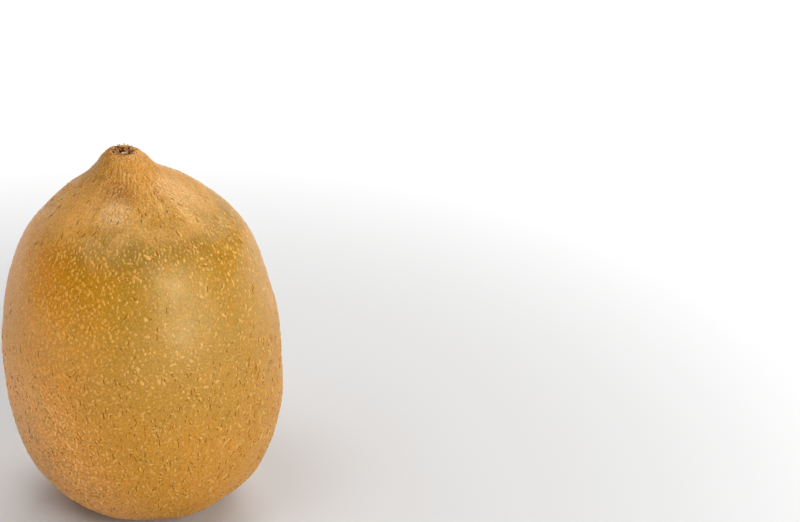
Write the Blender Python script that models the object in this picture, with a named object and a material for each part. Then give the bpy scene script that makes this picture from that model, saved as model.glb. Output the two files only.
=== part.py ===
"""Golden kiwi fruit, whole, standing on its stalk end with the beak up.

The fruit grew as one piece, so it is one closed solid: an egg-shaped body that
narrows to a short beak, a small crater in the beak's tip where the flower was,
and a flat ring round the stalk scar that it rests on. Metres, +Z up, with the
origin in the middle of the footprint, on the surface that the fruit stands on.
"""

import math

import bmesh
import bpy
from mathutils import Vector

# Driving dimensions, in metres.
FRUIT_HEIGHT = 0.0768
FRUIT_RADIUS = 0.0276
REST_RING_RADIUS = 0.0100
STALK_SCAR_RADIUS = 0.0034
STALK_SCAR_DEPTH = 0.0009
TIP_CRATER_RADIUS = 0.0024
TIP_CRATER_DEPTH = 0.0012

# Depth (Y) as a share of width (X): the fruit is slightly flattened.
SECTION_FLATTENING = 0.965

# The body, and then the beak, lean to -X on the way up.
BODY_LEAN = 0.0014
BEAK_LEAN = 0.0010
BEAK_LEAN_POWER = 8

# A slow three-lobed swelling that turns a little with height.
LOBES = 3
LOBE_SHARE = 0.005
LOBE_START = 1.1
LOBE_TURN = 2.2

# The outline from the rest ring up to the crater's lip. Each point is a share
# of FRUIT_RADIUS and a share of FRUIT_HEIGHT, and a smooth curve joins them.
SKIN_OUTLINE = (
    (REST_RING_RADIUS / FRUIT_RADIUS, 0.0),
    (0.61, 0.040),
    (0.825, 0.120),
    (0.965, 0.250),
    (1.0, 0.420),
    (0.948, 0.600),
    (0.788, 0.760),
    (0.543, 0.860),
    (0.351, 0.915),
    (0.220, 0.955),
    (0.150, 0.985),
    (TIP_CRATER_RADIUS / FRUIT_RADIUS, 1.0),
)

SEGMENTS = 64
STEPS_PER_OUTLINE_SPAN = 3
DIMPLE_RINGS = 4


def clear_scene():
    """Remove whatever the file held."""
    for thing in list(bpy.data.objects):
        bpy.data.objects.remove(thing, do_unlink=True)


def skin_material():
    """Thin ochre skin, matt with a faint waxy gloss."""
    material = bpy.data.materials.new("kiwi_skin")
    material.use_nodes = True
    shader = material.node_tree.nodes["Principled BSDF"]
    shader.inputs["Base Color"].default_value = (0.47, 0.24, 0.045, 1.0)
    shader.inputs["Roughness"].default_value = 0.55
    shader.inputs["Metallic"].default_value = 0.0
    material.diffuse_color = (0.47, 0.24, 0.045, 1.0)
    return material


def smooth_point(before, start, end, after, share):
    """A point on the smooth curve between start and end (Catmull-Rom)."""
    leaving = (end - before) / 2
    arriving = (after - start) / 2
    square = share * share
    cube = square * share
    return (
        start * (2 * cube - 3 * square + 1)
        + leaving * (cube - 2 * square + share)
        + end * (3 * square - 2 * cube)
        + arriving * (cube - square)
    )


def skin_profile():
    """Radius and height of each ring, from the rest ring up to the crater's lip.

    A guide mirrored past each end makes the curve leave the rest ring, and
    reach the lip, level.
    """
    points = [
        Vector((radius * FRUIT_RADIUS, height * FRUIT_HEIGHT))
        for radius, height in SKIN_OUTLINE
    ]
    below = Vector((2 * points[0].x - points[1].x, points[1].y))
    above = Vector((2 * points[-1].x - points[-2].x, points[-2].y))
    guides = [below] + points + [above]
    rings = [points[0]]
    for before, start, end, after in zip(guides, guides[1:], guides[2:], guides[3:]):
        for step in range(1, STEPS_PER_OUTLINE_SPAN + 1):
            share = step / STEPS_PER_OUTLINE_SPAN
            rings.append(smooth_point(before, start, end, after, share))
    return rings


def dimple_profile(radius, depth):
    """Radius and depth of each ring of a soft round dimple, rim first."""
    rings = []
    for ring in range(DIMPLE_RINGS):
        share = 1 - ring / DIMPLE_RINGS
        rings.append((radius * share, depth * (1 + math.cos(math.pi * share)) / 2))
    return rings


def fruit_profile():
    """Every ring of the fruit, from the stalk scar's middle to the crater's."""
    scar = [
        Vector((radius, depth))
        for radius, depth in dimple_profile(STALK_SCAR_RADIUS, STALK_SCAR_DEPTH)
    ]
    crater = [
        Vector((radius, FRUIT_HEIGHT - depth))
        for radius, depth in dimple_profile(TIP_CRATER_RADIUS, TIP_CRATER_DEPTH)
    ]
    return scar[::-1] + skin_profile() + crater[1:]


def on_fruit(radius, height, turn):
    """Where a point of the turned outline lies on the real, uneven fruit."""
    rise = height / FRUIT_HEIGHT
    swell = LOBE_SHARE * math.sin(math.pi * rise)
    swell *= math.sin(LOBES * turn + LOBE_TURN * rise + LOBE_START)
    lean = BODY_LEAN * rise * (2 - rise) + BEAK_LEAN * rise**BEAK_LEAN_POWER
    across = radius * (1 + swell)
    return Vector((
        across * math.cos(turn) - lean,
        across * math.sin(turn) * SECTION_FLATTENING,
        height,
    ))


def add_ring(mesh, radius, height):
    """One closed ring of corners."""
    turns = [2 * math.pi * corner / SEGMENTS for corner in range(SEGMENTS)]
    return [mesh.verts.new(on_fruit(radius, height, turn)) for turn in turns]


def join_rings(mesh, lower, upper):
    """Skin the band between two rings."""
    for corner in range(SEGMENTS):
        following = (corner + 1) % SEGMENTS
        mesh.faces.new((lower[corner], lower[following], upper[following], upper[corner]))


def close_ring(mesh, ring, height):
    """Fan a ring to its pole."""
    pole = mesh.verts.new(on_fruit(0.0, height, 0.0))
    for corner in range(SEGMENTS):
        following = (corner + 1) % SEGMENTS
        mesh.faces.new((ring[corner], ring[following], pole))


def centre_on_footprint(mesh):
    """Put the middle of the fruit's box over the origin."""
    for axis in (0, 1):
        places = [corner.co[axis] for corner in mesh.verts]
        middle = (min(places) + max(places)) / 2
        for corner in mesh.verts:
            corner.co[axis] -= middle


def kiwi_fruit():
    """The whole fruit, as one closed skin."""
    mesh = bmesh.new()
    rings = [add_ring(mesh, point.x, point.y) for point in fruit_profile()]
    for lower, upper in zip(rings, rings[1:]):
        join_rings(mesh, lower, upper)
    close_ring(mesh, rings[0], STALK_SCAR_DEPTH)
    close_ring(mesh, rings[-1], FRUIT_HEIGHT - TIP_CRATER_DEPTH)
    centre_on_footprint(mesh)
    bmesh.ops.recalc_face_normals(mesh, faces=mesh.faces[:])

    shape = bpy.data.meshes.new("kiwi_fruit")
    mesh.to_mesh(shape)
    mesh.free()
    shape.shade_smooth()
    shape.materials.append(skin_material())
    fruit = bpy.data.objects.new("kiwi_fruit", shape)
    bpy.context.collection.objects.link(fruit)


clear_scene()
kiwi_fruit()
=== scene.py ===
import math

import bpy
import numpy as np
from mathutils import Matrix, Vector, noise
from mathutils.bvhtree import BVHTree


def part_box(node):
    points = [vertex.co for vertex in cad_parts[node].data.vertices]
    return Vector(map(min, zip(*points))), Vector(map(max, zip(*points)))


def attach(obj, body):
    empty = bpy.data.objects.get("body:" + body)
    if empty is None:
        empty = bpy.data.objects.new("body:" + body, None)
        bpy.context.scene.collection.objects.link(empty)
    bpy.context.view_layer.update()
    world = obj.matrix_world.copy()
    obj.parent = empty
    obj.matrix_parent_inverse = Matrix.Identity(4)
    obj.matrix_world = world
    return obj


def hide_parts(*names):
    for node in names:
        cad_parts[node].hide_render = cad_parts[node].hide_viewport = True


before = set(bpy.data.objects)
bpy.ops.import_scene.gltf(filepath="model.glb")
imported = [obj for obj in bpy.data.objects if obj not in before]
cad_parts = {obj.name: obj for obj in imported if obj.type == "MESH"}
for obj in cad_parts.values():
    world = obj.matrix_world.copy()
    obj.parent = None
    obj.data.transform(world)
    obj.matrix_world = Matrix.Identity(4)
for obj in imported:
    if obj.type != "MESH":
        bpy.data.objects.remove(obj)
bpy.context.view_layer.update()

# ---------------------------------------------------------------------------
# The skin: a thin, tough, ochre peel that grew in one piece round the flesh.
# It is smooth and faintly waxy, swells and dips a little, and is drawn into
# fine creases that run up into the beak.

MM = 0.001
fruit_low, fruit_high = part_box("kiwi_fruit")
fruit_height = fruit_high.z - fruit_low.z
fruit_middle = Vector((0.0, 0.0, fruit_height / 2))

bpy.ops.object.select_all(action="DESELECT")
skin = bpy.data.objects.new("fruit_skin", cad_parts["kiwi_fruit"].data.copy())
bpy.context.scene.collection.objects.link(skin)
bpy.context.view_layer.objects.active = skin
skin.select_set(True)

# One closed cage of quads, from the fruit's own shape.
bpy.ops.mesh.customdata_custom_splitnormals_clear()
bpy.ops.object.mode_set(mode="EDIT")
bpy.ops.mesh.select_all(action="SELECT")
bpy.ops.mesh.remove_doubles(threshold=0.00002)
bpy.ops.mesh.tris_convert_to_quads()
bpy.ops.mesh.normals_make_consistent(inside=False)
bpy.ops.object.mode_set(mode="OBJECT")


def finish_modifier(piece, kind, **settings):
    """Adds a modifier to the piece and applies it."""
    modifier = piece.modifiers.new(kind.title(), kind)
    for name, value in settings.items():
        setattr(modifier, name, value)
    bpy.context.view_layer.objects.active = piece
    bpy.ops.object.modifier_apply(modifier=modifier.name)


finish_modifier(skin, "SUBSURF", levels=2, render_levels=2)

CREASE_START = 0.80 * fruit_height
CREASE_FULL = 0.93 * fruit_height
CREASE_DEPTH = 0.10 * MM
CREASE_DRIFT = 5.0 * MM
SWELL_DEPTH = 0.30 * MM
SWELL_WIDTH = 9.0 * MM
DENT_DEPTH = 0.09 * MM
DENT_WIDTH = 2.2 * MM
FLAT_HEIGHT = 2.5 * MM

# On its right side the fruit is fuller at the chest and shoulder, with a thinner neck.
CHEST_HEIGHT = 0.78 * fruit_height
CHEST_REACH = 0.14 * fruit_height
CHEST_DEPTH = 0.60 * MM
SHOULDER_HEIGHT = 0.885 * fruit_height
SHOULDER_REACH = 0.055 * fruit_height
SHOULDER_DEPTH = 0.45 * MM
NECK_HEIGHT = 0.945 * fruit_height
NECK_REACH = 0.030 * fruit_height
NECK_DEPTH = 0.22 * MM


def fade(value, low, high):
    """0 up to low, 1 from high, and smooth between."""
    share = min(max((value - low) / (high - low), 0.0), 1.0)
    return share * share * (3 - 2 * share)


def hump(value, middle, width):
    """1 at the middle, and down to 0 a width away on both sides."""
    return fade(abs(value - middle), width, 0.0)


def crease_pattern(place):
    """Ridges and furrows that run up the beak, from -1 to 1."""
    turn = math.atan2(place.y, place.x)
    drift = 1.6 * noise.noise(place / CREASE_DRIFT)
    around = Vector((math.cos(turn), math.sin(turn), 0.0))
    wide = noise.noise(around * 5.0 + Vector((0.0, 0.0, place.z / (9.0 * MM) + drift * 0.1)))
    fine = noise.noise(around * 14.0 + Vector((7.0, 0.0, place.z / (6.0 * MM) + drift * 0.2)))
    return 0.8 * wide + 0.9 * fine


def skin_relief(place):
    """How far the skin stands out of the smooth shape at a place."""
    swell = SWELL_DEPTH * noise.noise(place / SWELL_WIDTH)
    dent = DENT_DEPTH * noise.noise(place / DENT_WIDTH + Vector((3.0, 1.0, 2.0)))
    crease = CREASE_DEPTH * crease_pattern(place) * fade(place.z, CREASE_START, CREASE_FULL)
    chest = CHEST_DEPTH * hump(place.z, CHEST_HEIGHT, CHEST_REACH)
    shoulder = SHOULDER_DEPTH * hump(place.z, SHOULDER_HEIGHT, SHOULDER_REACH)
    neck = NECK_DEPTH * hump(place.z, NECK_HEIGHT, NECK_REACH)
    right_side = 0.5 + 0.5 * place.x / max(math.hypot(place.x, place.y), MM)
    return (
        (swell + dent) * fade(place.z, 0.0, FLAT_HEIGHT)
        + crease + (shoulder - neck + chest * right_side) * right_side
    )


raised = [corner.co + corner.normal * skin_relief(corner.co) for corner in skin.data.vertices]
for corner in raised:
    corner.z = max(corner.z, fruit_low.z)
skin.data.vertices.foreach_set("co", np.array(raised).ravel())
skin.data.shade_smooth()


def linear(red, green, blue):
    """A screen colour, 0 to 255, as the light it stands for."""
    shares = [value / 255 for value in (red, green, blue)]
    return tuple(
        share / 12.92 if share <= 0.04045 else ((share + 0.055) / 1.055) ** 2.4 for share in shares
    ) + (1.0,)


def add_node(tree, kind, inputs, **options):
    """Adds a shader node. An input is a value or the socket that feeds it."""
    node = tree.nodes.new("ShaderNode" + kind)
    for name, value in options.items():
        setattr(node, name, value)
    for name, value in inputs.items():
        if isinstance(value, bpy.types.NodeSocket):
            tree.links.new(value, node.inputs[name])
        else:
            node.inputs[name].default_value = value
    return node


def calculate(tree, operation, first, second=0.0):
    """One sum on numbers."""
    return add_node(tree, "Math", {0: first, 1: second}, operation=operation).outputs[0]


def fade_between(tree, value, low, high, start=0.0, end=1.0):
    """start up to low, end from high, and smooth between."""
    inputs = {"Value": value, "From Min": low, "From Max": high, "To Min": start, "To Max": end}
    return add_node(tree, "MapRange", inputs, interpolation_type="SMOOTHSTEP").outputs[0]


def mix_colours(tree, share, first, second, blend="MIX"):
    """One colour over another."""
    inputs = {0: share, 6: first, 7: second}
    return add_node(tree, "Mix", inputs, data_type="RGBA", blend_type=blend).outputs[2]


def noise_on(tree, places, width, detail=3.0, roughness=0.55):
    """Noise whose blobs are about the given width."""
    inputs = {"Vector": places, "Scale": 1 / width, "Detail": detail, "Roughness": roughness}
    return add_node(tree, "TexNoise", inputs).outputs[0]


def grain_places(tree, girth, length, twist=0.0):
    """Coordinates that run with the skin's grain: round the fruit, and from pole to pole.

    The first two are a point on a circle of radius girth, so the pattern has
    no seam. The third is the way along a meridian, with length for each radian.
    A twist, in radians for each metre of height, makes the grain climb askew.
    """
    places = add_node(tree, "TexCoord", {}).outputs["Object"]
    split = add_node(tree, "SeparateXYZ", {"Vector": places})
    flat = add_node(tree, "CombineXYZ", {"X": split.outputs[0], "Y": split.outputs[1]})
    across = add_node(tree, "VectorMath", {0: flat.outputs[0]}, operation="LENGTH").outputs["Value"]
    around = add_node(tree, "VectorMath", {0: flat.outputs[0]}, operation="NORMALIZE").outputs[0]
    turn = calculate(tree, "MULTIPLY", split.outputs[2], twist)
    around = add_node(
        tree, "VectorRotate", {"Vector": around, "Angle": turn}, rotation_type="Z_AXIS"
    ).outputs[0]
    ring = add_node(tree, "VectorMath", {0: around, "Scale": girth}, operation="SCALE").outputs[0]
    height = calculate(tree, "SUBTRACT", split.outputs[2], fruit_middle.z)
    polar = calculate(tree, "ARCTAN2", across, height)
    way = calculate(tree, "MULTIPLY", polar, length)
    lift = add_node(tree, "CombineXYZ", {"Z": way}).outputs[0]
    return add_node(tree, "VectorMath", {0: ring, 1: lift}, operation="ADD").outputs[0]


def facing(tree, places, side):
    """How squarely the skin at each place faces a side of the fruit, from -1 to 1."""
    from_middle = add_node(
        tree, "VectorMath", {0: places, 1: fruit_middle}, operation="SUBTRACT"
    ).outputs[0]
    outward = add_node(tree, "VectorMath", {0: from_middle}, operation="NORMALIZE").outputs[0]
    return add_node(
        tree, "VectorMath", {0: outward, 1: side}, operation="DOT_PRODUCT"
    ).outputs["Value"]


def near(tree, places, middle, inner, outer, ragged=0.0):
    """1 within inner of a point on the fruit, 0 from outer, and smooth between.

    Ragged is added to the distance, so that the edge of the spot wanders.
    """
    offset = add_node(tree, "VectorMath", {0: places, 1: middle}, operation="SUBTRACT").outputs[0]
    reach = add_node(tree, "VectorMath", {0: offset}, operation="LENGTH").outputs["Value"]
    return fade_between(tree, calculate(tree, "ADD", reach, ragged), inner, outer, 1.0, 0.0)


def band(tree, height, middle, width, most):
    """most at one height, and down to 0 a width above and below it."""
    away = calculate(tree, "ABSOLUTE", calculate(tree, "SUBTRACT", height, middle))
    return fade_between(tree, away, 0.0, width, most, 0.0)


def some_spots(tree, places, width, edge, channel, chosen, most):
    """Round spots in some cells of a pattern, each with its own strength up to most."""
    cells = add_node(tree, "TexVoronoi", {"Vector": places, "Scale": 1 / width})
    spot = fade_between(tree, cells.outputs["Distance"], *edge, 1.0, 0.0)
    lot = add_node(tree, "SeparateColor", {"Color": cells.outputs["Color"]}).outputs[channel]
    return calculate(tree, "MULTIPLY", spot, fade_between(tree, lot, *chosen, 0.0, most))


# The sides that the skin's clouds face, and how wide the clouds and patches are.
OLIVE_SIDE = Vector((0.50, -0.60, 0.62))
WARM_SIDE = Vector((-0.85, -0.42, 0.32))
# Low on the left front the peel is paler: painted light, in place of light bounced up on that side.
PAINTED_LIGHT_SIDE = Vector((-0.70, -0.35, -0.62))
CLOUD_WIDTH = 14.0 * MM
CLOUD_WANDER = 0.8
PATCH_WIDTH = 4.0 * MM
# A darker olive band round the fruit, just below the beak's foot, is painted shade, where the
# lights leave a dim gap between their reflections.
SHADE_BAND_HEIGHT = 0.830 * fruit_height
SHADE_BAND_WIDTH = 6.0 * MM
OCHRE_PEEL = linear(197, 129, 0)
OLIVE_PEEL = linear(174, 123, 0)
SHADE_BAND_PEEL = linear(148, 106, 0)
WARM_PEEL = linear(214, 133, 0)
PAINTED_LIGHT_PEEL = linear(242, 160, 62)
PATCH_PEEL = linear(194, 132, 12)


def peel_colour(tree, places, height, clouds, patches):
    """Ochre, with an olive side, a warm side, a darker band of painted shade round the shoulder,
    and a pale side low down that is painted light.
    """
    wander = calculate(
        tree, "MULTIPLY", calculate(tree, "SUBTRACT", clouds, 0.5), CLOUD_WANDER
    )
    toward_olive = calculate(tree, "ADD", facing(tree, places, OLIVE_SIDE), wander)
    green = fade_between(tree, toward_olive, 0.10, 0.90)
    colour = mix_colours(tree, green, OCHRE_PEEL, OLIVE_PEEL)
    # Painted shade: a darker band round the shoulder.
    shade_band = band(tree, height, SHADE_BAND_HEIGHT, SHADE_BAND_WIDTH, 0.8)
    colour = mix_colours(tree, shade_band, colour, SHADE_BAND_PEEL)
    toward_warm = calculate(tree, "ADD", facing(tree, places, WARM_SIDE), wander)
    warm = fade_between(tree, toward_warm, 0.50, 0.95)
    colour = mix_colours(tree, warm, colour, WARM_PEEL)
    # Painted light: paler low on the left front.
    pale = fade_between(tree, facing(tree, places, PAINTED_LIGHT_SIDE), 0.55, 0.92, 0.0, 0.9)
    colour = mix_colours(tree, pale, colour, PAINTED_LIGHT_PEEL)
    patch = fade_between(tree, patches, 0.45, 0.75, 0.0, 0.5)
    return mix_colours(tree, patch, colour, PATCH_PEEL)


FAINT_CHIP_SPACING = 0.85 * MM
FAINT_CHIP_WOBBLE = 0.5 * MM
FAINT_CHIP = linear(198, 136, 18)


def faint_chips(tree, places):
    """Where the corky chips lie that hardly stand out."""
    wobble = noise_on(tree, places, FAINT_CHIP_WOBBLE, detail=1.0)
    wobble = add_node(tree, "CombineXYZ", {"X": wobble, "Y": wobble, "Z": wobble}).outputs[0]
    wobble = add_node(
        tree, "VectorMath", {0: wobble, "Scale": FAINT_CHIP_WOBBLE}, operation="SCALE"
    ).outputs[0]
    uneven = add_node(tree, "VectorMath", {0: places, 1: wobble}, operation="ADD").outputs[0]
    return some_spots(tree, uneven, FAINT_CHIP_SPACING, (0.18, 0.34), 0, (0.2, 0.9), 0.75)


FIBRE_WIDTH = 0.55 * MM
FIBRE_GIRTH = 12.0 * MM
FIBRE_LENGTH = 24.0 * MM
CRUMB_WIDTH = 0.30 * MM
DARK_FIBRE = linear(136, 78, 2)
LIGHT_FIBRE = linear(224, 150, 44)
BEAK_OCHRE = linear(194, 124, 10)
BEAK_CRUMB = linear(236, 184, 108)


def beak_colour(tree, places, fibres, crumbs):
    """Brown and tan fibres under ochre clouds and pale crumbs."""
    colour = mix_colours(tree, fade_between(tree, fibres, 0.36, 0.62), DARK_FIBRE, LIGHT_FIBRE)
    ochre_clouds = noise_on(tree, places, 5 * MM, detail=2.0)
    ochre = fade_between(tree, ochre_clouds, 0.40, 0.62, 0.0, 0.55)
    colour = mix_colours(tree, ochre, colour, BEAK_OCHRE)
    return mix_colours(tree, fade_between(tree, crumbs, 0.54, 0.62, 0.0, 0.45), colour, BEAK_CRUMB)


BEAK_START = 0.82 * fruit_height
BEAK_FULL = 0.96 * fruit_height
# The places and tints below paint light and shade round the beak: the band at its foot and the spot
# on the left shoulder are painted light, the brown spot on its front is painted shade, and the pale
# spot under that is a painted highlight.
BEAK_FOOT = 0.865 * fruit_height
BEAK_FOOT_WIDTH = 4.5 * MM
SHOULDER_LIGHT_SPOT = Vector((-11.3 * MM, -7.8 * MM, 0.880 * fruit_height))
BEAK_SHADE_SPOT = Vector((-1.6 * MM, -7.8 * MM, 0.932 * fruit_height))
BEAK_HIGHLIGHT_SPOT = Vector((-2.2 * MM, -11.2 * MM, 0.898 * fruit_height))
FOOT_LIGHT_TINT = linear(228, 174, 104)
SHOULDER_LIGHT_TINT = linear(240, 172, 84)
BEAK_SHADE_TINT = linear(150, 84, 0)
BEAK_HIGHLIGHT_TINT = linear(240, 196, 140)


def painted_beak_light_and_shade(tree, places, height, colour, patches, fibres, crumbs):
    """Painted light and shade round the beak: a paler, mottled band at its foot and a pale spot on
    the left shoulder as painted light, a brown spot on its front as painted shade, and a painted
    highlight below that.
    """
    # Painted light: a paler, mottled band round the beak's foot.
    foot = band(tree, height, BEAK_FOOT, BEAK_FOOT_WIDTH, 0.34)
    foot = calculate(tree, "MULTIPLY", foot, fade_between(tree, patches, 0.35, 0.6))
    colour = mix_colours(tree, foot, colour, FOOT_LIGHT_TINT)
    # Painted light: a pale spot on the left shoulder.
    shoulder = near(tree, places, SHOULDER_LIGHT_SPOT, 3.0 * MM, 9.5 * MM)
    colour = mix_colours(tree, calculate(tree, "MULTIPLY", shoulder, 0.55), colour, SHOULDER_LIGHT_TINT)
    # Painted shade: a brown spot on the front of the beak.
    beak_shade = near(tree, places, BEAK_SHADE_SPOT, 0.5 * MM, 4.6 * MM)
    beak_shade = calculate(tree, "MULTIPLY", beak_shade, fade_between(tree, fibres, 0.62, 0.42, 0.40, 1.0))
    colour = mix_colours(tree, beak_shade, colour, BEAK_SHADE_TINT)
    # Painted highlight: a pale spot below it.
    beak_highlight = near(tree, places, BEAK_HIGHLIGHT_SPOT, 0.5 * MM, 4.0 * MM)
    beak_highlight = calculate(tree, "MULTIPLY", beak_highlight, fade_between(tree, crumbs, 0.40, 0.60, 0.35, 0.70))
    return mix_colours(tree, beak_highlight, colour, BEAK_HIGHLIGHT_TINT)


PORE_SPACING = 1.0 * MM
PORE_BROWN = linear(98, 54, 2)


def beak_pores(tree, height):
    """Where the dark pores of the beak lie, in rows that run up it."""
    rows = grain_places(tree, 13 * MM, 16 * MM)
    pores = some_spots(tree, rows, PORE_SPACING, (0.10, 0.22), 0, (0.5, 0.8), 1.0)
    upward = fade_between(tree, height, 0.78 * fruit_height, 0.90 * fruit_height)
    return calculate(tree, "MULTIPLY", pores, upward)


# Fine crack marks: sunk in the bump, and painted dark, partly as painted shade.
CRACK_SPACING = 1.7 * MM
CRACK_TWIST = 36.0
CRACK_SHADE_BROWN = linear(136, 80, 10)


def fine_cracks_and_shade(tree):
    """Where the fine crack marks beside the corky chips lie, which climb askew; their dark colour
    is partly painted shade.
    """
    rows = grain_places(tree, 56 * MM, 20 * MM, CRACK_TWIST)
    return some_spots(tree, rows, CRACK_SPACING, (0.10, 0.20), 1, (0.3, 0.6), 0.7)


lip = [corner.co for corner in skin.data.vertices if corner.co.z > 0.988 * fruit_height]
tip = sum(lip, Vector()) / len(lip)
TIP_HOLLOW = tip - Vector((0.0, 0.0, 0.6 * MM))
TIP_PITS = (Vector((-0.5, 1.0, 0.0)) * MM, Vector((1.1, -1.2, 0.0)) * MM)
TIP_STAIN = linear(104, 60, 28)
PIT_BLACK = linear(34, 15, 10)


def stained_tip(tree, places, colour):
    """The hollow in the tip, stained brown, with two black pits. Gives the stain's share too."""
    ragged = noise_on(tree, places, 0.7 * MM)
    edge = calculate(tree, "MULTIPLY", ragged, 1.6 * MM)
    stained = near(tree, places, TIP_HOLLOW, 1.9 * MM, 2.7 * MM, edge)
    colour = mix_colours(tree, stained, colour, TIP_STAIN)
    for pit in TIP_PITS:
        edge = calculate(tree, "MULTIPLY", ragged, 1.2 * MM)
        black = near(tree, places, TIP_HOLLOW + pit, 1.2 * MM, 1.7 * MM, edge)
        colour = mix_colours(tree, black, colour, PIT_BLACK)
    return colour, stained


GRAIN_WIDTH = 0.34 * MM
WRINKLE_WIDTH = 0.5 * MM
BUMP_DEPTH = 0.07 * MM
SKIN_GLOSS_TINT = (1.0, 0.94, 0.62, 1.0)


def skin_material():
    """Ochre peel: olive and amber clouds, faint chips, pores and a fine grain."""
    material = bpy.data.materials.new("kiwi_skin")
    material.use_nodes = True
    tree = material.node_tree
    shader = tree.nodes["Principled BSDF"]
    places = add_node(tree, "TexCoord", {}).outputs["Object"]
    height = add_node(tree, "SeparateXYZ", {"Vector": places}).outputs[2]
    clouds = noise_on(tree, places, CLOUD_WIDTH, detail=2.0)
    patches = noise_on(tree, places, PATCH_WIDTH)
    crumbs = noise_on(tree, places, CRUMB_WIDTH, detail=2.0)
    grain = noise_on(tree, places, GRAIN_WIDTH, roughness=0.75)
    fibres = noise_on(
        tree, grain_places(tree, FIBRE_GIRTH, FIBRE_LENGTH), FIBRE_WIDTH, detail=4.0, roughness=0.7
    )
    wrinkles = noise_on(tree, grain_places(tree, 30 * MM, 20 * MM), WRINKLE_WIDTH)
    beak = fade_between(tree, height, BEAK_START, BEAK_FULL)
    faint = faint_chips(tree, places)
    cracks_and_shade = fine_cracks_and_shade(tree)

    colour = peel_colour(tree, places, height, clouds, patches)
    colour = mix_colours(tree, faint, colour, FAINT_CHIP)
    colour = mix_colours(
        tree, calculate(tree, "MULTIPLY", beak, 0.9), colour,
        beak_colour(tree, places, fibres, crumbs),
    )
    # Painted light and shade round the beak.
    colour = painted_beak_light_and_shade(tree, places, height, colour, patches, fibres, crumbs)
    colour = mix_colours(tree, beak_pores(tree, height), colour, PORE_BROWN)
    # Fine crack marks, darkened partly as painted shade.
    colour = mix_colours(tree, cracks_and_shade, colour, CRACK_SHADE_BROWN)
    colour, stained = stained_tip(tree, places, colour)
    shade = fade_between(tree, grain, 0.38, 0.62, 0.74, 1.20)
    shade_colour = add_node(tree, "CombineColor", {0: shade, 1: shade, 2: shade}).outputs[0]
    colour = mix_colours(tree, 1.0, colour, shade_colour, blend="MULTIPLY")
    tree.links.new(colour, shader.inputs["Base Color"])

    rough = fade_between(tree, clouds, 0.3, 0.7, 0.37, 0.43)
    rough = calculate(tree, "ADD", rough, calculate(tree, "MULTIPLY", beak, 0.12))
    rough = calculate(tree, "ADD", rough, calculate(tree, "MULTIPLY", stained, 0.35))
    tree.links.new(rough, shader.inputs["Roughness"])
    shader.inputs["Specular IOR Level"].default_value = 1.0
    shader.inputs["Specular Tint"].default_value = SKIN_GLOSS_TINT

    lift = calculate(tree, "ADD", calculate(tree, "MULTIPLY", wrinkles, 0.8), grain)
    lift = calculate(tree, "ADD", lift, calculate(tree, "MULTIPLY", faint, 0.8))
    lift = calculate(tree, "SUBTRACT", lift, calculate(tree, "MULTIPLY", cracks_and_shade, 0.8))
    raised_fibres = calculate(tree, "MULTIPLY", fibres, calculate(tree, "MULTIPLY", beak, 1.2))
    lift = calculate(tree, "ADD", lift, raised_fibres)
    bump = add_node(tree, "Bump", {"Height": lift, "Strength": 0.45, "Distance": BUMP_DEPTH})
    tree.links.new(bump.outputs[0], shader.inputs["Normal"])
    return material


skin.data.materials.clear()
skin.data.materials.append(skin_material())
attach(skin, "root")
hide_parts("kiwi_fruit")

# ---------------------------------------------------------------------------
# The flecks: thousands of corky chips that dried on the peel while it grew.
# They are lighter than it, and mostly longer than wide. Under the lower edge of some
# of them, more often low down, lies a short dark slit with a dull floor: partly a
# split in the peel, partly painted shadow of the fleck.

FLECK_TRIES = 42000
FLECK_SPACING = 0.86 * MM
FLECK_LENGTH = 0.74 * MM
LENGTH_SPREAD = 0.25
LONGEST_SHARE = 1.7
WIDTH_SHARES = (0.45, 0.78)
FLECK_HEIGHT = 0.18 * MM
HEIGHT_SHARES = (0.6, 1.1)
FLECK_SINK = 0.40
GRAIN_LEAN = 0.7
BELLY_START = 0.62 * fruit_height
BELLY_FULL = 0.42 * fruit_height

chance = np.random.default_rng(7)


def chip_template(name, corners, ragged, steps, seed):
    """One corky chip, a unit long, wide and high: a flat ragged disc with sloping sides."""
    bpy.ops.object.select_all(action="DESELECT")
    bpy.ops.mesh.primitive_circle_add(vertices=corners, radius=0.5, fill_type="NGON")
    chip = bpy.context.active_object
    chip.name = name
    bpy.ops.object.mode_set(mode="EDIT")
    bpy.ops.mesh.select_all(action="SELECT")
    bpy.ops.transform.vertex_random(offset=ragged, uniform=0.0, normal=0.0, seed=seed)
    bpy.ops.transform.resize(value=(1, 1, 0), center_override=(0, 0, 0))
    for height, shrink in steps:
        bpy.ops.mesh.extrude_region_move(TRANSFORM_OT_translate={"value": (0, 0, height)})
        bpy.ops.transform.resize(value=(shrink, shrink, 1), center_override=(0, 0, 1))
    bpy.ops.mesh.select_all(action="SELECT")
    bpy.ops.mesh.normals_make_consistent(inside=False)
    bpy.ops.object.mode_set(mode="OBJECT")
    places = np.array([corner.co for corner in chip.data.vertices])
    faces = [list(face.vertices) for face in chip.data.polygons]
    bpy.data.objects.remove(chip)
    return places, faces


CHIP_STEPS = ((0.62, 0.84), (0.38, 0.60))
chip_templates = [
    chip_template(f"corky_chip_{seed}", 8 + seed % 2, 0.19, CHIP_STEPS, seed) for seed in range(8)
]
slit_template = chip_template("dark_slit_shadow", 6, 0.05, ((1.0, 0.7),), 1)


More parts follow.
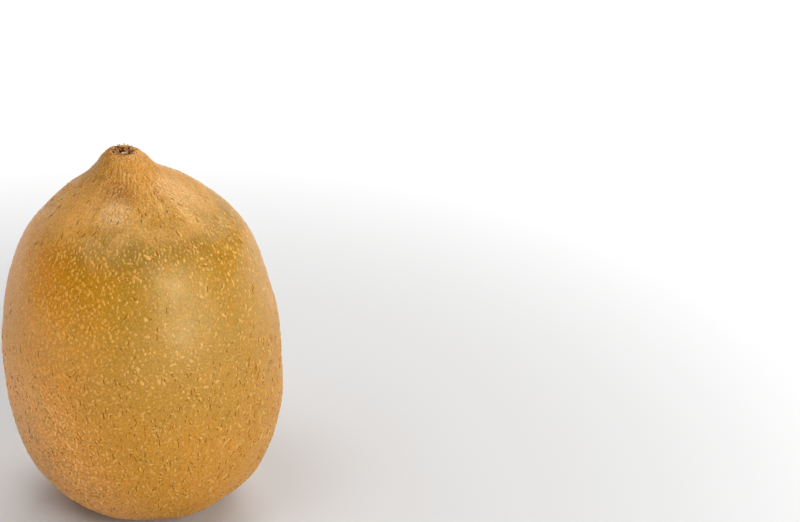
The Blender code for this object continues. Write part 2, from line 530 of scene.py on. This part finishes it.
def skin_samples(count):
    """Random places, spread evenly over the skin."""
    skin.data.calc_loop_triangles()
    corners = np.empty(len(skin.data.vertices) * 3)
    skin.data.vertices.foreach_get("co", corners)
    corners = corners.reshape(-1, 3)
    triangles = np.empty(len(skin.data.loop_triangles) * 3, dtype=np.int64)
    skin.data.loop_triangles.foreach_get("vertices", triangles)
    triangles = triangles.reshape(-1, 3)
    a, b, c = (corners[triangles[:, side]] for side in range(3))
    areas = np.linalg.norm(np.cross(b - a, c - a), axis=1)
    picked = chance.choice(len(triangles), size=count, p=areas / areas.sum())
    u, v = chance.random((2, count))
    over = u + v > 1
    u[over], v[over] = 1 - u[over], 1 - v[over]
    return a[picked] + u[:, None] * (b - a)[picked] + v[:, None] * (c - a)[picked]


def spread_out(places, spacing_at):
    """The places that keep their spacing from every place kept before them."""
    cell = FLECK_SPACING
    kept = {}
    result = []
    for place in places:
        spacing = spacing_at(place)
        home = tuple(int(math.floor(value / cell)) for value in place)
        neighbours = (
            other
            for x in range(home[0] - 1, home[0] + 2)
            for y in range(home[1] - 1, home[1] + 2)
            for z in range(home[2] - 1, home[2] + 2)
            for other in kept.get((x, y, z), ())
        )
        if all((other - place) @ (other - place) > spacing * spacing for other in neighbours):
            kept.setdefault(home, []).append(place)
            result.append(Vector(place))
    return result


def fleck_spacing(place):
    """Flecks crowd together towards the beak and in drifts."""
    crowd = noise.noise(Vector(place) / (7 * MM))
    beak = fade(place[2], 0.70 * fruit_height, 0.92 * fruit_height)
    return FLECK_SPACING * (0.90 - 0.25 * crowd - 0.25 * beak)


skin_surface = BVHTree.FromPolygons(
    [corner.co.copy() for corner in skin.data.vertices],
    [tuple(face.vertices) for face in skin.data.polygons],
)


class Grains:
    """Many grains gathered into one mesh, each with its own tone."""

    def __init__(self):
        self.places = []
        self.faces = []
        self.tones = []

    def add(self, template, place, along, size, sink, tone):
        """Lays one grain on the skin at a place, pointing along a direction."""
        shape, faces = template
        _, normal, _, _ = skin_surface.find_nearest(place)
        along = (along - normal * along.dot(normal)).normalized()
        across = normal.cross(along)
        start = len(self.places)
        for x, y, z in shape:
            spot = place + along * (x * size[0]) + across * (y * size[1])
            ground, ground_normal, _, _ = skin_surface.find_nearest(spot)
            corner = ground + ground_normal * (z - sink) * size[2]
            corner.z = max(corner.z, fruit_low.z)
            self.places.append(corner)
            self.tones.append(tone * fade(z, 0.0, 1.0))
        self.faces.extend([start + corner for corner in face] for face in faces)

    def make(self, name, material):
        """The finished piece."""
        mesh = bpy.data.meshes.new(name)
        mesh.from_pydata(self.places, [], self.faces)
        tone = mesh.attributes.new("tone", "FLOAT", "POINT")
        tone.data.foreach_set("value", self.tones)
        mesh.materials.append(material)
        piece = bpy.data.objects.new(name, mesh)
        bpy.context.scene.collection.objects.link(piece)
        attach(piece, "root")
        return piece


def meridian_at(place):
    """The way down the skin, away from the beak, and the skin's normal."""
    sideways = Vector((-place.y, place.x, 0.0)).normalized()
    _, normal, _, _ = skin_surface.find_nearest(place)
    return sideways.cross(normal).normalized(), normal


def grain_direction(place):
    """Along the fruit, but low down the grain also leans to the front, and the skin's normal."""
    meridian, normal = meridian_at(place)
    lean = GRAIN_LEAN * fade(place.z, 0.70 * fruit_height, 0.45 * fruit_height)
    return (meridian - Vector((0.0, lean, 0.0))).normalized(), normal


def slit_direction(place):
    """Slits run along the grain, give or take a little."""
    grain, normal = grain_direction(place)
    return Matrix.Rotation(chance.normal(0.0, 0.40), 3, normal) @ grain


def fleck_direction(place):
    """Roughly along slow drifts on the skin, and in every direction between them."""
    grain, normal = grain_direction(place)
    drift = 1.6 * noise.noise(place / (14 * MM) + Vector((5.0, 2.0, 8.0)))
    loose = 0.75 - 0.5 * fade(place.z, 0.45 * fruit_height, 0.90 * fruit_height)
    turn = drift * loose + chance.normal(0.0, loose)
    return Matrix.Rotation(turn, 3, normal) @ grain


CORK_DULL = linear(178, 117, 8)
CORK_TAN = linear(221, 166, 76)
CORK_PATCH = linear(207, 149, 52)
CORK_WARM = linear(230, 158, 40)
# The last colour is painted light, for the flecks low on the left front.
CORK_PAINTED_LIGHT = linear(250, 184, 104)
GRIT_WIDTH = 0.12 * MM
CORK_GLOSS_TINT = (1.0, 0.94, 0.66, 1.0)


def fleck_material():
    """Dry cork, tan on top and close to the peel's colour where it is dull."""
    material = bpy.data.materials.new("kiwi_fleck")
    material.use_nodes = True
    tree = material.node_tree
    shader = tree.nodes["Principled BSDF"]
    places = add_node(tree, "TexCoord", {}).outputs["Object"]
    tone = add_node(tree, "Attribute", {}, attribute_name="tone").outputs["Fac"]
    colour = mix_colours(tree, tone, CORK_DULL, CORK_TAN)
    patches = noise_on(tree, places, 6 * MM, detail=2.0)
    colour = mix_colours(
        tree, fade_between(tree, patches, 0.4, 0.7, 0.0, 0.3), colour, CORK_PATCH
    )
    warm = fade_between(tree, facing(tree, places, WARM_SIDE), 0.40, 0.90, 0.0, 0.8)
    colour = mix_colours(tree, warm, colour, CORK_WARM)
    # Painted light: the flecks are paler low on the left front too.
    pale = fade_between(tree, facing(tree, places, PAINTED_LIGHT_SIDE), 0.60, 0.92, 0.0, 0.85)
    colour = mix_colours(tree, pale, colour, CORK_PAINTED_LIGHT)
    tree.links.new(colour, shader.inputs["Base Color"])
    shader.inputs["Roughness"].default_value = 0.42
    shader.inputs["Specular IOR Level"].default_value = 1.0
    shader.inputs["Specular Tint"].default_value = CORK_GLOSS_TINT
    grit = noise_on(tree, places, GRIT_WIDTH, detail=2.0)
    bump = add_node(tree, "Bump", {"Height": grit, "Strength": 0.4, "Distance": 0.05 * MM})
    tree.links.new(bump.outputs[0], shader.inputs["Normal"])
    return material


def clear_of_foot(place):
    """The spot that the fruit rests on is rubbed smooth, with a ragged edge."""
    return place.z > (0.9 + 1.4 * noise.noise(place / (0.9 * MM))) * MM


fleck_finish = fleck_material()
fleck_places = list(filter(clear_of_foot, spread_out(skin_samples(FLECK_TRIES), fleck_spacing)))


def fleck_shape(place, low):
    """Length, width and height, then tone: slim on the beak, long and thick on the belly."""
    slim = fade(place.z, 0.80 * fruit_height, 0.93 * fruit_height)
    length = FLECK_LENGTH * min(chance.lognormal(0.0, LENGTH_SPREAD), LONGEST_SHARE)
    width = length * chance.uniform(*WIDTH_SHARES) * (1 - 0.40 * slim)
    length *= 1 + 0.18 * low
    height = FLECK_HEIGHT * chance.uniform(*HEIGHT_SHARES) * (0.60 + 0.40 * low)
    tone = chance.uniform(0.05, 1.0) * (1 - 0.35 * slim)
    return (length, width, height), tone


SLIT_CHANCE = 0.26
SLIT_LENGTHS = (0.9 * MM, 1.8 * MM)
SLIT_WIDTH = 0.23 * MM
SLIT_DEPTH = 0.06 * MM
SLIT_SINK = 0.2


def split_peel_with_shadow(shadow_slits, place, along, normal, width, low):
    """Opens a slit under some flecks' lower edge: partly a split peel, partly painted shadow."""
    if chance.uniform() >= SLIT_CHANCE * (0.15 + 0.85 * low):
        return
    side = normal.cross(along)
    side = side if side.z < 0 else -side
    middle = place + side * (0.42 * width + 0.35 * SLIT_WIDTH)
    size = (chance.uniform(*SLIT_LENGTHS), SLIT_WIDTH, SLIT_DEPTH)
    along = slit_direction(place)
    shadow_slits.add(slit_template, middle, along, size, SLIT_SINK, chance.uniform(0.0, 1.0))


SECOND_CHIP_CHANCE = 0.22
SECOND_CHIP_TURNS = (0.5, 1.3)


def add_second_chip(flecks, template, place, along, normal, size, tone):
    """Some flecks are two chips that meet at an angle."""
    if chance.uniform() >= SECOND_CHIP_CHANCE:
        return
    length, width, height = size
    turn = chance.choice((-1, 1)) * chance.uniform(*SECOND_CHIP_TURNS)
    second = Matrix.Rotation(turn, 3, normal) @ along
    middle = place + along * (0.42 * length) + second * (0.30 * length)
    size = (0.75 * length, 0.8 * width, 0.9 * height)
    flecks.add(template, middle, second, size, FLECK_SINK, tone)


FLECKS_PER_PIECE = 2200

shadow_slits = Grains()
for first in range(0, len(fleck_places), FLECKS_PER_PIECE):
    flecks = Grains()
    for place in fleck_places[first:first + FLECKS_PER_PIECE]:
        low = fade(place.z, BELLY_START, BELLY_FULL)
        size, tone = fleck_shape(place, low)
        along = fleck_direction(place)
        _, normal, _, _ = skin_surface.find_nearest(place)
        template = chip_templates[chance.integers(len(chip_templates))]
        flecks.add(template, place, along, size, FLECK_SINK, tone)
        split_peel_with_shadow(shadow_slits, place, along, normal, size[1], low)
        add_second_chip(flecks, template, place, along, normal, size, tone)
    flecks.make(f"skin_flecks_{first // FLECKS_PER_PIECE + 1}", fleck_finish)


# Painted shadow beside the flecks, on the floor of a split in the peel.
SLIT_SHADOW_BROWN = linear(132, 80, 2)
SLIT_SHADOW_OCHRE = linear(164, 106, 10)


def slit_shadow_material():
    """The dull floor of a crack in the peel, darkened as painted shadow of the fleck too."""
    material = bpy.data.materials.new("kiwi_slit_shadow")
    material.use_nodes = True
    tree = material.node_tree
    shader = tree.nodes["Principled BSDF"]
    tone = add_node(tree, "Attribute", {}, attribute_name="tone").outputs["Fac"]
    colour = mix_colours(tree, tone, SLIT_SHADOW_BROWN, SLIT_SHADOW_OCHRE)
    tree.links.new(colour, shader.inputs["Base Color"])
    shader.inputs["Roughness"].default_value = 0.9
    shader.inputs["Specular IOR Level"].default_value = 0.05
    return material


# The dark slit under some flecks is partly painted shadow.
shadow_slits.make("skin_shadow_slits", slit_shadow_material())

# ---------------------------------------------------------------------------
# The tip of the beak: what the flower left behind. A ragged, corky ring stands
# round the hollow, with dried scales curled over it and a few withered styles.

SCAB_RADIUS = 2.45 * MM
SCAB_RINGS = 22
SCAB_CORNERS = 108
SCAB_SINK = 0.12 * MM
SCAB_RELIEF = 0.16 * MM
SCAB_RIM = 0.18 * MM
SCAB_PIT_DEPTH = 0.85 * MM
SCAB_PIT_WIDTH = (0.95 * MM, 0.35 * MM)
SCAB_TUCK = 0.05 * MM
KNOB_WIDTH = 0.62 * MM
CRUMB_KNOB_WIDTH = 0.27 * MM
STRAIGHT_DOWN = Vector((0.0, 0.0, -1.0))
ABOVE = Vector((0.0, 0.0, 5.0 * MM))


def dried_material(name, dark, light, glow):
    """Dead, papery or corky tissue, from dark to light in fine streaks."""
    material = bpy.data.materials.new(name)
    material.use_nodes = True
    tree = material.node_tree
    shader = tree.nodes["Principled BSDF"]
    places = add_node(tree, "TexCoord", {}).outputs["Object"]
    stain = noise_on(tree, places, 0.55 * MM, detail=4.0, roughness=0.65)
    colour = mix_colours(tree, fade_between(tree, stain, 0.38, 0.62), dark, light)
    specks = noise_on(tree, places, 0.16 * MM, detail=2.0)
    colour = mix_colours(tree, fade_between(tree, specks, 0.52, 0.70, 0.0, glow), colour, light)
    tree.links.new(colour, shader.inputs["Base Color"])
    shader.inputs["Roughness"].default_value = 0.75
    shader.inputs["Specular IOR Level"].default_value = 0.25
    bump = add_node(tree, "Bump", {"Height": stain, "Strength": 0.6, "Distance": 0.12 * MM})
    tree.links.new(bump.outputs[0], shader.inputs["Normal"])
    return material


# The corky scab that fills the hollow, drawn as a flat disc of rings and laid on the tip.
bpy.ops.object.select_all(action="DESELECT")
bpy.ops.mesh.primitive_circle_add(vertices=SCAB_CORNERS, radius=1.0, fill_type="NGON")
scab = bpy.context.active_object
scab.name = "tip_scab"
bpy.ops.object.mode_set(mode="EDIT")
bpy.ops.mesh.select_all(action="SELECT")
for ring in range(SCAB_RINGS - 1):
    bpy.ops.mesh.inset(thickness=1 / SCAB_RINGS, use_even_offset=False)
bpy.ops.object.mode_set(mode="OBJECT")


def scab_level(reach, place):
    """How high the scab stands above the lip's level: knobbly, with two pits."""
    knobs = noise.noise(place / KNOB_WIDTH) + 0.7 * noise.noise(place / CRUMB_KNOB_WIDTH)
    level = SCAB_RELIEF * knobs + SCAB_RIM * hump(reach, 0.72, 0.3) - SCAB_SINK
    for pit in TIP_PITS:
        level -= SCAB_PIT_DEPTH * fade((place - tip - pit).length, *SCAB_PIT_WIDTH)
    return level


for corner in scab.data.vertices:
    away = Vector((corner.co.x, corner.co.y, 0.0))
    reach = away.length
    ragged = 1.0 + 0.10 * noise.noise(away.normalized() * 2.6) if reach > 0 else 1.0
    spot = tip + away * SCAB_RADIUS * ragged
    ground, _, _, _ = skin_surface.ray_cast(spot + ABOVE, STRAIGHT_DOWN)
    level = max(tip.z + scab_level(reach, spot), ground.z + 0.04 * MM)
    edge = fade(reach, 0.80, 1.0)
    spot.z = level + (ground.z - SCAB_TUCK - level) * edge
    corner.co = spot
scab.data.shade_smooth()


CORK_BROWN = linear(84, 46, 20)
CORK_LIGHT = linear(196, 134, 74)
CORK_CRUMB = linear(226, 172, 112)
SCAB_PIT_BLACK = linear(38, 17, 11)


def scab_material():
    """Dead cork: brown and tan crumbs, black in the pits."""
    material = bpy.data.materials.new("tip_cork")
    material.use_nodes = True
    tree = material.node_tree
    shader = tree.nodes["Principled BSDF"]
    places = add_node(tree, "TexCoord", {}).outputs["Object"]
    stain = noise_on(tree, places, 0.50 * MM, detail=4.0, roughness=0.7)
    colour = mix_colours(tree, fade_between(tree, stain, 0.40, 0.58), CORK_BROWN, CORK_LIGHT)
    crumbs = noise_on(tree, places, 0.20 * MM, detail=2.0)
    crumb = fade_between(tree, crumbs, 0.54, 0.64, 0.0, 0.7)
    colour = mix_colours(tree, crumb, colour, CORK_CRUMB)
    for pit in TIP_PITS:
        bottom = tip + pit + 0.3 * MM * STRAIGHT_DOWN
        edge = calculate(tree, "MULTIPLY", stain, 1.3 * MM)
        black = near(tree, places, bottom, 1.15 * MM, 1.65 * MM, edge)
        colour = mix_colours(tree, black, colour, SCAB_PIT_BLACK)
    tree.links.new(colour, shader.inputs["Base Color"])
    shader.inputs["Roughness"].default_value = 0.85
    shader.inputs["Specular IOR Level"].default_value = 0.12
    bump = add_node(tree, "Bump", {"Height": crumbs, "Strength": 0.6, "Distance": 0.10 * MM})
    tree.links.new(bump.outputs[0], shader.inputs["Normal"])
    return material


scab.data.materials.append(scab_material())
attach(scab, "root")


def flake_template(name, curl, seed):
    """A thin dried scale, a unit long, that curls up at its free end."""
    bpy.ops.object.select_all(action="DESELECT")
    bpy.ops.mesh.primitive_grid_add(x_subdivisions=6, y_subdivisions=4, size=1.0)
    flake = bpy.context.active_object
    flake.name = name
    bpy.ops.object.mode_set(mode="EDIT")
    bpy.ops.mesh.select_all(action="SELECT")
    bpy.ops.transform.vertex_random(offset=0.07, uniform=0.0, normal=0.0, seed=seed)
    bpy.ops.object.mode_set(mode="OBJECT")
    for corner in flake.data.vertices:
        reach = corner.co.x + 0.5
        corner.co.y *= 1.05 - 0.75 * reach * reach
        corner.co.z += curl * reach * reach - 0.35 * corner.co.y * corner.co.y
    finish_modifier(flake, "SOLIDIFY", thickness=0.09, offset=0.0)
    finish_modifier(flake, "SUBSURF", levels=1, render_levels=1)
    places = np.array([corner.co for corner in flake.data.vertices])
    faces = [list(face.vertices) for face in flake.data.polygons]
    bpy.data.objects.remove(flake)
    return places, faces


def scatter(name, template_list, layout, material):
    """Sets one copy of a template at each (centre, along, up, length, width) of a layout."""
    corners, faces = [], []
    for lot, (centre, along, up, length, width) in enumerate(layout):
        shape, shape_faces = template_list[lot % len(template_list)]
        across = up.cross(along).normalized()
        start = len(corners)
        for x, y, z in shape:
            corners.append(
                centre + along * (x * length) + across * (y * width) + up * (z * length)
            )
        faces.extend([start + corner for corner in face] for face in shape_faces)
    mesh = bpy.data.meshes.new(name)
    mesh.from_pydata(corners, [], faces)
    mesh.shade_smooth()
    mesh.materials.append(material)
    piece = bpy.data.objects.new(name, mesh)
    bpy.context.scene.collection.objects.link(piece)
    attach(piece, "root")
    return piece


flakes = [flake_template(f"dried_flake_{seed}", 0.10 + 0.12 * seed, seed) for seed in range(4)]
scab_surface = BVHTree.FromPolygons(
    [corner.co.copy() for corner in scab.data.vertices],
    [tuple(face.vertices) for face in scab.data.polygons],
)


def tip_ground(place):
    """The highest place under a point at the tip, on the scab or the skin, and its normal."""
    hits = [
        surface.ray_cast(place + ABOVE, STRAIGHT_DOWN) for surface in (scab_surface, skin_surface)
    ]
    ground, normal, _, _ = max((hit for hit in hits if hit[0]), key=lambda hit: hit[0].z)
    return ground, normal


def ring_layout(count, radius, sizes, inward, lift):
    """Scales round the hollow, that point to its middle or out over the lip."""
    layout = []
    for lot in range(count):
        turn = 2 * math.pi * (lot + chance.uniform(-0.35, 0.35)) / count
        away = Vector((math.cos(turn), math.sin(turn), 0.0))
        spot = tip + away * radius * chance.uniform(0.85, 1.15)
        ground, normal = tip_ground(spot)
        along = -away if inward else away
        along = Matrix.Rotation(chance.normal(0.0, 0.5), 3, "Z") @ along
        flat_along = along - normal * along.dot(normal)
        along = (flat_along + normal * chance.uniform(0.0, 0.5)).normalized()
        up = (normal - along * normal.dot(along)).normalized()
        length = chance.uniform(*sizes)
        width = length * chance.uniform(0.5, 0.9)
        layout.append((ground + normal * lift, along, up, length, width))
    return layout


scatter(
    "tip_brown_scales", flakes,
    ring_layout(13, 1.75 * MM, (0.45 * MM, 0.9 * MM), True, 0.10 * MM),
    dried_material("dried_scale", linear(58, 28, 14), linear(150, 92, 50), 0.3),
)
scatter(
    "tip_tan_scales", flakes,
    ring_layout(9, 2.1 * MM, (0.4 * MM, 0.8 * MM), True, 0.16 * MM),
    dried_material("pale_scale", linear(146, 94, 46), linear(212, 158, 100), 0.6),
)
scatter(
    "tip_outer_scales", flakes,
    ring_layout(24, 2.5 * MM, (0.3 * MM, 0.7 * MM), False, 0.04 * MM),
    dried_material("outer_scale", linear(128, 74, 26), linear(214, 150, 84), 0.4),
)

# One broad, pale scale lies between the two pits and faces the front.
CREAM_MIDDLE = tip + Vector((0.30, -0.60, 0.12)) * MM
CREAM_LENGTH = 1.35 * MM
CREAM_WIDTH = 0.8 * MM
cream_along = Vector((0.94, -0.30, 0.10)).normalized()
cream_up = Vector((0.0, -0.45, 1.0))
cream_up = (cream_up - cream_along * cream_up.dot(cream_along)).normalized()
scatter(
    "tip_cream_scale", flakes[:1],
    [(CREAM_MIDDLE, cream_along, cream_up, CREAM_LENGTH, CREAM_WIDTH)],
    dried_material("cream_scale", linear(214, 172, 120), linear(244, 212, 166), 0.6),
)


def style_template():
    """A withered style: a thin bent stub that tapers to a blunt end."""
    bpy.ops.object.select_all(action="DESELECT")
    bpy.ops.mesh.primitive_cylinder_add(vertices=8, radius=0.5, depth=1.0, location=(0, 0, 0))
    stub = bpy.context.active_object
    bpy.ops.object.mode_set(mode="EDIT")
    bpy.ops.mesh.select_all(action="SELECT")
    bpy.ops.transform.rotate(
        value=math.pi / 2, orient_axis="Y", orient_type="GLOBAL", center_override=(0, 0, 0)
    )
    bpy.ops.mesh.subdivide(number_cuts=2)
    bpy.ops.object.mode_set(mode="OBJECT")
    for corner in stub.data.vertices:
        reach = corner.co.x + 0.5
        slim = 1.0 - 0.5 * reach
        corner.co.y = corner.co.y * slim
        corner.co.z = corner.co.z * slim * 0.22 + 0.30 * reach * reach
    places = np.array([corner.co for corner in stub.data.vertices])
    faces = [list(face.vertices) for face in stub.data.polygons]
    bpy.data.objects.remove(stub)
    return places, faces


STYLES = 10
STYLE_WIDTH = 0.20 * MM
STYLE_LIFT = 0.2 * MM

style_layout = []
for lot in range(STYLES):
    turn = chance.uniform(0, 2 * math.pi)
    away = Vector((math.cos(turn), math.sin(turn), 0.0))
    base, _ = tip_ground(tip + TIP_PITS[lot % 2] + away * chance.uniform(0.1, 0.7) * MM)
    along = (away * 0.6 - STRAIGHT_DOWN + Vector(chance.normal(0, 0.3, 3))).normalized()
    side = along.cross(Vector((0.3, 0.8, 0.1))).normalized()
    style_layout.append((
        base + along * STYLE_LIFT, along, side.cross(along).normalized(),
        chance.uniform(0.55, 0.95) * MM, STYLE_WIDTH,
    ))
scatter(
    "tip_withered_styles", [style_template()], style_layout,
    dried_material("withered_style", linear(40, 20, 12), linear(112, 64, 36), 0.3),
)

# ---------------------------------------------------------------------------
# The stalk scar, under the fruit: a small woody disc, ringed with cork, where
# the stalk broke off. Its face is dry and cracked from the middle outwards.

SCAR_RADIUS = 2.7 * MM
SCAR_CORNERS = 60
SCAR_HEIGHT = 0.8 * MM
SCAR_TUCK = 0.02 * MM
SCAR_CRACKING = 0.30

# Each ring's reach, as a share of the radius, and its rise, as a share of the height.
SCAR_RINGS = (0.06, 0.28, 0.52, 0.72, 0.86, 1.0)
SCAR_RISE = (0.30, 0.16, 0.22, 0.14, 0.34, 0.0)

foot = [corner.co for corner in skin.data.vertices if corner.co.z < 0.3 * MM]
scar_middle = sum(foot, Vector()) / len(foot)
bpy.ops.object.select_all(action="DESELECT")
bpy.ops.mesh.primitive_circle_add(vertices=SCAR_CORNERS, radius=1.0, fill_type="NGON")
scar = bpy.context.active_object
scar.name = "stalk_scar"
bpy.ops.object.mode_set(mode="EDIT")
bpy.ops.mesh.select_all(action="SELECT")
for outer, inner in zip(SCAR_RINGS[::-1], SCAR_RINGS[-2::-1]):
    bpy.ops.mesh.inset(thickness=outer - inner, use_even_offset=False)
bpy.ops.object.mode_set(mode="OBJECT")
for corner in scar.data.vertices:
    away = Vector((corner.co.x, corner.co.y, 0.0))
    reach = away.length
    crack = noise.noise(away.normalized() * 5.0 + Vector((0.0, 0.0, 4.0))) if reach > 0.1 else 0.0
    rise = np.interp(reach, SCAR_RINGS, SCAR_RISE) + SCAR_CRACKING * crack * reach * (1.0 - reach)
    spot = scar_middle + away * SCAR_RADIUS * (1.0 + 0.06 * noise.noise(away * 3.0))
    ground, _, _, _ = skin_surface.ray_cast(Vector((spot.x, spot.y, -MM)), Vector((0, 0, 1)))
    spot = ground - Vector((0.0, 0.0, rise * SCAR_HEIGHT - SCAR_TUCK))
    corner.co = Vector((spot.x, spot.y, max(spot.z, fruit_low.z)))
scar.data.flip_normals()
scar.data.shade_smooth()
scar.data.materials.append(
    dried_material("woody_scar", linear(70, 46, 26), linear(158, 118, 76), 0.4)
)
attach(scar, "root")

# ---------------------------------------------------------------------------
# The studio: a white table that runs on to a white surround, a large softbox
# at the right front, one high at the right back and two weak ones at the left.

TABLE_RADIUS = 4.0
TABLE_COLOUR = (0.66, 0.66, 0.66, 1.0)
GLOW_START = 0.05
GLOW_FULL = 0.33
GLOW = 0.80

bpy.ops.object.select_all(action="DESELECT")
bpy.ops.mesh.primitive_circle_add(vertices=96, radius=TABLE_RADIUS, fill_type="NGON")
table = bpy.context.active_object
table.name = "table"


def table_material():
    """White acrylic, lit from below all round but not close to the fruit."""
    material = bpy.data.materials.new("white_table")
    material.use_nodes = True
    tree = material.node_tree
    shader = tree.nodes["Principled BSDF"]
    places = add_node(tree, "TexCoord", {}).outputs["Object"]
    away = add_node(tree, "VectorMath", {0: places}, operation="LENGTH").outputs["Value"]
    glow = fade_between(tree, away, GLOW_START, GLOW_FULL, 0.0, GLOW)
    shader.inputs["Base Color"].default_value = TABLE_COLOUR
    shader.inputs["Roughness"].default_value = 0.8
    shader.inputs["Specular IOR Level"].default_value = 0.2
    shader.inputs["Emission Color"].default_value = (1.0, 1.0, 1.0, 1.0)
    tree.links.new(glow, shader.inputs["Emission Strength"])
    return material


table.data.materials.append(table_material())

SOFTBOX_DISTANCE = 1.5


def softbox(name, azimuth, elevation, size, power):
    """A rectangular light that faces the fruit. Azimuth 0 is in front and 90 to the right."""
    turn, rise = math.radians(azimuth), math.radians(elevation)
    away = Vector((
        math.sin(turn) * math.cos(rise), -math.cos(turn) * math.cos(rise), math.sin(rise)
    ))
    bpy.ops.object.light_add(type="AREA", location=fruit_middle + away * SOFTBOX_DISTANCE)
    light = bpy.context.active_object
    light.name = name
    light.rotation_euler = away.to_track_quat("Z", "Y").to_euler()
    light.data.shape = "RECTANGLE"
    light.data.size, light.data.size_y = size
    light.data.energy = power


softbox("key_softbox", 42, 23, (0.90, 1.10), 17.2)
softbox("top_softbox", 150, 42, (1.30, 0.85), 18.5)
softbox("left_softbox", -75, 70, (1.2, 1.0), 9.0)
softbox("rim_softbox", -125, 7, (1.4, 0.6), 2.0)

SURROUND_LIGHT = 0.05
SURROUND_SEEN = 1.0

surround = bpy.data.worlds.new("white_surround")
bpy.context.scene.world = surround
surround.use_nodes = True
surround_tree = surround.node_tree
seen = add_node(surround_tree, "LightPath", {}).outputs["Is Camera Ray"]
strength = fade_between(surround_tree, seen, 0.0, 1.0, SURROUND_LIGHT, SURROUND_SEEN)
surround_tree.links.new(strength, surround_tree.nodes["Background"].inputs["Strength"])
surround_tree.nodes["Background"].inputs["Color"].default_value = (1.0, 1.0, 1.0, 1.0)
bpy.context.scene.view_settings.view_transform = "Standard"

# ---------------------------------------------------------------------------
# The camera: a long lens that looks down on the fruit, which stands to the left
# of the middle of the view.

LOOK_DOWN = math.radians(28)
LENS = 100.0
SENSOR = 36.0
CAMERA_DISTANCE = 0.4415
VIEW_RIGHT_OF_FRUIT = 0.0512
VIEW_ABOVE_FRUIT = 0.0129

bpy.ops.object.camera_add()
camera = bpy.context.active_object
camera.data.lens = LENS
camera.data.sensor_width = SENSOR
camera.rotation_euler = (math.pi / 2 - LOOK_DOWN, 0.0, 0.0)
camera_turn = camera.rotation_euler.to_matrix()
camera.location = fruit_middle + camera_turn @ Vector(
    (VIEW_RIGHT_OF_FRUIT, VIEW_ABOVE_FRUIT, CAMERA_DISTANCE)
)
camera.data.clip_start = 0.01
camera.data.clip_end = 10.0
bpy.context.scene.camera = camera
